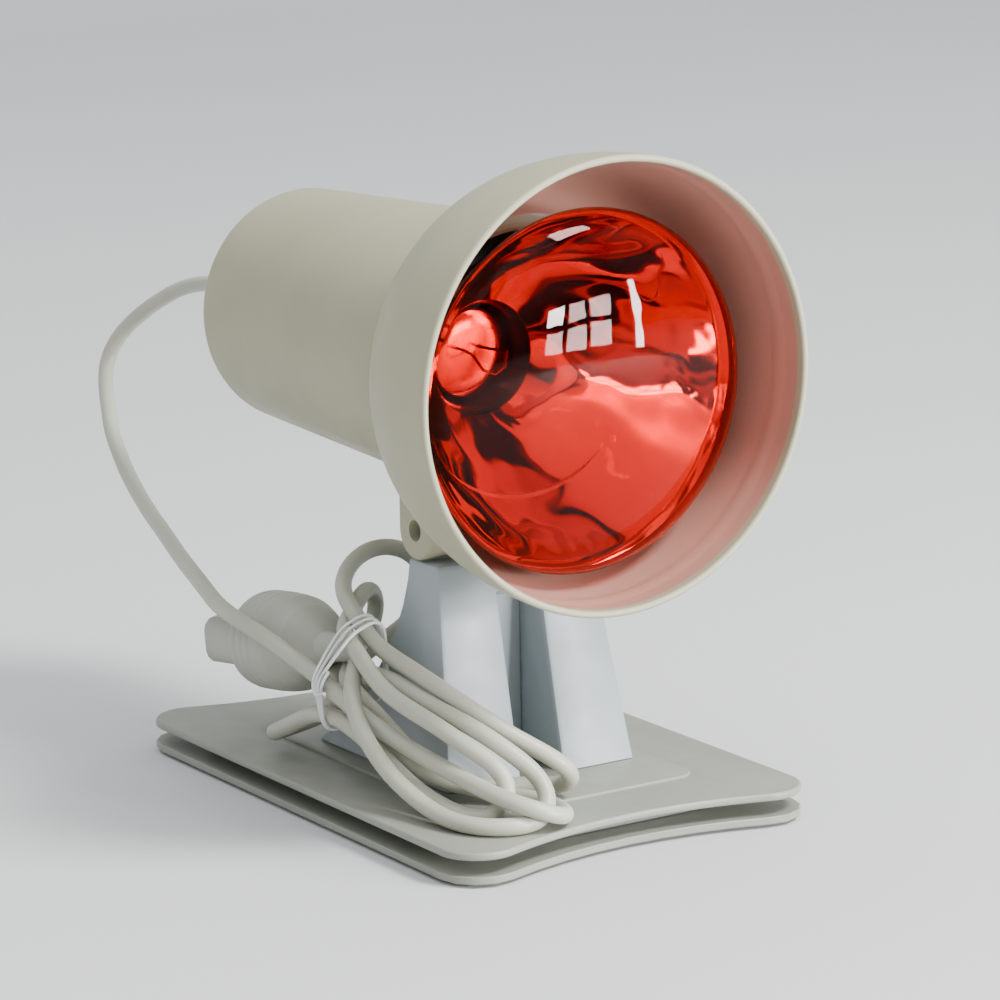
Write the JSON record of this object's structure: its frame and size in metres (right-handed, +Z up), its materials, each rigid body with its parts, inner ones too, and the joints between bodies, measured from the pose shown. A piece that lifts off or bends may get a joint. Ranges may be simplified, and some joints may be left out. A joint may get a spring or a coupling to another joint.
{
  "type": "table heat lamp",
  "caption": "Table-top infrared heat lamp: reflector bulb in a bell-shaped head that tilts on a two-legged stand over a weighted two-plate base, with a folded mains lead.",
  "frame": {"origin": "middle of the footprint on the table, at the underside of the feet", "axes": "+Z up; the lamp shines towards -Y; +X is to the right when looking along +Y from the shade's side"},
  "size_m": [0.155, 0.3429, 0.2355],
  "materials": {
    "shell_plastic": "satin moulded, warm light grey",
    "shade_white": "satin white, moulded",
    "rubber": "matte",
    "screw_steel": "zinc plated",
    "ballast_steel": "raw rolled plate",
    "sheet_aluminium": "bright sheet",
    "cap_brass": "nickel-plated brass",
    "black_plastic": "thermoset",
    "ceramic_white": "glazed ceramic",
    "red_glass": "ruby stained glass with a mirrored back",
    "clear_glass": "clear",
    "tungsten": "drawn wire",
    "white_pvc": "soft moulded PVC",
    "wire_sleeve": "coloured wire sleeve",
    "tie_wire": "plastic-coated tie wire",
    "nylon": "nylon"
  },
  "bodies": {
    "base": {"base_top_plate": "shell_plastic", "base_spacer": "shell_plastic", "base_bottom_plate": "shell_plastic", "left_leg": "shell_plastic", "right_leg": "shell_plastic", "stand_web": "shell_plastic", "plug_pin_cover": "shell_plastic", "foot_1": "rubber", "foot_2": "rubber", "foot_3": "rubber", "foot_4": "rubber", "base_screw_1": "screw_steel", "base_screw_2": "screw_steel", "base_screw_3": "screw_steel", "base_screw_4": "screw_steel", "leg_screw_1": "screw_steel", "leg_screw_2": "screw_steel", "leg_screw_3": "screw_steel", "leg_screw_4": "screw_steel", "stand_tie_bolt": "screw_steel", "stand_tie_nut": "screw_steel", "plug_pin_1": "screw_steel", "plug_pin_2": "screw_steel", "ballast_plate": "ballast_steel", "cord_run": "white_pvc", "hank_front": "white_pvc", "hank_rear": "white_pvc", "hank_loops": "white_pvc", "plug_body": "white_pvc", "twist_tie": "tie_wire"},
    "head": {"lamp_housing": "shell_plastic", "lamp_shade": "shade_white", "heat_shield": "sheet_aluminium", "bulb_glass": "red_glass", "bulb_cap": "cap_brass", "bulb_insulator": "black_plastic", "bulb_contact": "cap_brass", "bulb_stem": "clear_glass", "bulb_filament": "tungsten", "lampholder_body": "ceramic_white", "lampholder_shell": "cap_brass", "lampholder_contact": "cap_brass", "lampholder_bracket": "screw_steel", "lampholder_nut": "screw_steel", "bracket_screw_1": "screw_steel", "bracket_screw_2": "screw_steel", "terminal_block": "black_plastic", "cord_lead_1": "wire_sleeve", "cord_lead_2": "wire_sleeve", "holder_lead_1": "wire_sleeve", "holder_lead_2": "wire_sleeve", "cord_gland": "white_pvc", "pivot_bolt": "screw_steel", "pivot_nut": "screw_steel", "friction_washer_left": "nylon", "friction_washer_right": "nylon"}
  },
  "joints": [
    {"name": "head_tilt", "type": "hinge", "parent": "base", "child": "head", "pos_m": [0, -0.02, 0.1], "axis": [-1, 0, 0], "range_deg": [-25, 20], "deforming": ["cord_run"]}
  ]
}
